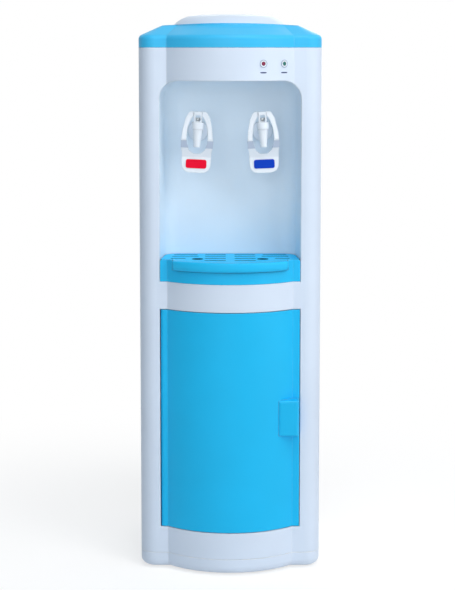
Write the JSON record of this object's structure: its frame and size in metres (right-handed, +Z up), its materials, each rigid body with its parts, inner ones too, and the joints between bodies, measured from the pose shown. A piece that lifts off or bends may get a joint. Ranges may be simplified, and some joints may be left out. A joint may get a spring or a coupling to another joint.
{
  "type": "floor-standing water dispenser",
  "caption": "Tall bottled-water dispenser with hot and cold push taps in a recess, a lift-out drip tray and a storage cabinet behind a bowed hinged door.",
  "frame": {"origin": "on the floor under the middle of the whole object's box", "axes": "+Z up, +X to the right of someone facing the taps, front towards -Y"},
  "size_m": [0.31, 0.331, 0.9565],
  "materials": {
    "white_plastic": "satin moulded",
    "white_steel": "satin paint",
    "back_steel": "satin paint",
    "blue_plastic": "satin moulded",
    "tap_plastic": "gloss moulded",
    "grip_plastic": "matte moulded",
    "hot_pad": "gloss",
    "cold_pad": "gloss",
    "silicone": "soft matte",
    "steel": "plated",
    "bezel_metal": "plated",
    "red_lens": "clear tinted",
    "green_lens": "clear tinted",
    "circuit_board": "solder mask",
    "stainless": "brushed",
    "foam": "closed-cell foam",
    "heater": "wrapped band",
    "aluminium": "extruded",
    "black_plastic": "matte moulded",
    "red_rocker": "gloss",
    "green_rocker": "gloss",
    "drain_plastic": "matte moulded",
    "rubber": "matte"
  },
  "bodies": {
    "cabinet": {"base_plinth": "white_plastic", "front_panel": "white_plastic", "tap_recess": "white_plastic", "bottle_collar": "white_plastic", "bottle_probe": "white_plastic", "cabinet_liner": "white_plastic", "side_panel_left": "white_steel", "side_panel_right": "white_steel", "back_panel": "back_steel", "tank_shelf": "back_steel", "top_cover": "blue_plastic", "tray_apron": "blue_plastic", "hot_tap_body": "tap_plastic", "cold_tap_body": "tap_plastic", "hot_tap_bonnet": "tap_plastic", "cold_tap_bonnet": "tap_plastic", "tap_nuts": "tap_plastic", "tap_gaskets": "silicone", "cold_feed_tube": "silicone", "hot_feed_tube": "silicone", "hot_fill_tube": "silicone", "drain_tube": "silicone", "door_pins": "steel", "lever_pins": "steel", "panel_screws": "steel", "lamp_bezels": "bezel_metal", "hot_lamp_lens": "red_lens", "cold_lamp_lens": "green_lens", "lamp_boards": "circuit_board", "hot_tank": "stainless", "cold_tank": "stainless", "tank_jacket": "foam", "heater_band": "heater", "thermostats": "heater", "cooler_block": "aluminium", "heat_sink": "aluminium", "fan_frame": "black_plastic", "switch_frame": "black_plastic", "cord_gland": "black_plastic", "door_catch": "black_plastic", "drain_spigot": "drain_plastic", "rubber_feet": "rubber"},
    "door": {"door": "blue_plastic", "door_strike": "steel"},
    "tray": {"drip_tray": "blue_plastic"},
    "grille": {"drip_grille": "blue_plastic"},
    "hot_lever": {"hot_tap_lever": "tap_plastic", "hot_lever_grips": "grip_plastic", "hot_lever_pad": "hot_pad"},
    "cold_lever": {"cold_tap_lever": "tap_plastic", "cold_lever_grips": "grip_plastic", "cold_lever_pad": "cold_pad"},
    "hot_valve": {"hot_valve_plunger": "silicone"},
    "cold_valve": {"cold_valve_plunger": "silicone"},
    "fan": {"fan_rotor": "black_plastic"},
    "hot_rocker": {"hot_switch_rocker": "red_rocker"},
    "cold_rocker": {"cold_switch_rocker": "green_rocker"},
    "cap": {"drain_cap": "drain_plastic"}
  },
  "joints": [
    {"name": "door_swing", "type": "hinge", "parent": "cabinet", "child": "door", "pos_m": [-0.113, -0.1125, 0.2655], "axis": [0, 0, -1], "range_deg": [0, 90]},
    {"name": "tray_lift", "type": "slide", "parent": "cabinet", "child": "tray", "axis": [0, 0, 1], "range_m": [0, 0.06]},
    {"name": "grille_lift", "type": "slide", "parent": "tray", "child": "grille", "axis": [0, 0, 1], "range_m": [0, 0.04]},
    {"name": "fan_spin", "type": "hinge", "parent": "cabinet", "child": "fan", "pos_m": [0, 0.1374, 0.768], "axis": [0, 1, 0], "continuous": true},
    {"name": "cap_pull", "type": "slide", "parent": "cabinet", "child": "cap", "axis": [0, 1, 0], "range_m": [0, 0.02]},
    {"name": "hot_lever_push", "type": "hinge", "parent": "cabinet", "child": "hot_lever", "pos_m": [-0.05399, -0.1105, 0.78877], "axis": [0.999, 0, -0.0454], "range_deg": [0, 15], "stiffness_Nm_per_rad": 0.4, "springref_deg": -14.32},
    {"name": "hot_valve_lift", "type": "slide", "parent": "cabinet", "child": "hot_valve", "axis": [0.0454, 0, 0.999], "range_m": [0, 0.00305]},
    {"name": "hot_rocker_tilt", "type": "hinge", "parent": "cabinet", "child": "hot_rocker", "pos_m": [0.0685, 0.1495, 0.563], "axis": [1, 0, 0], "range_deg": [0, 16]},
    {"name": "cold_lever_push", "type": "hinge", "parent": "cabinet", "child": "cold_lever", "pos_m": [0.05399, -0.1105, 0.78877], "axis": [0.999, 0, 0.0454], "range_deg": [0, 15], "stiffness_Nm_per_rad": 0.4, "springref_deg": -14.32},
    {"name": "cold_valve_lift", "type": "slide", "parent": "cabinet", "child": "cold_valve", "axis": [-0.0454, 0, 0.999], "range_m": [0, 0.00305]},
    {"name": "cold_rocker_tilt", "type": "hinge", "parent": "cabinet", "child": "cold_rocker", "pos_m": [0.0915, 0.1495, 0.563], "axis": [1, 0, 0], "range_deg": [0, 16]}
  ],
  "couplings": [
    {"joint": "hot_valve_lift", "follows": "hot_lever_push", "m_per_rad": 0.011459},
    {"joint": "cold_valve_lift", "follows": "cold_lever_push", "m_per_rad": 0.011459}
  ]
}
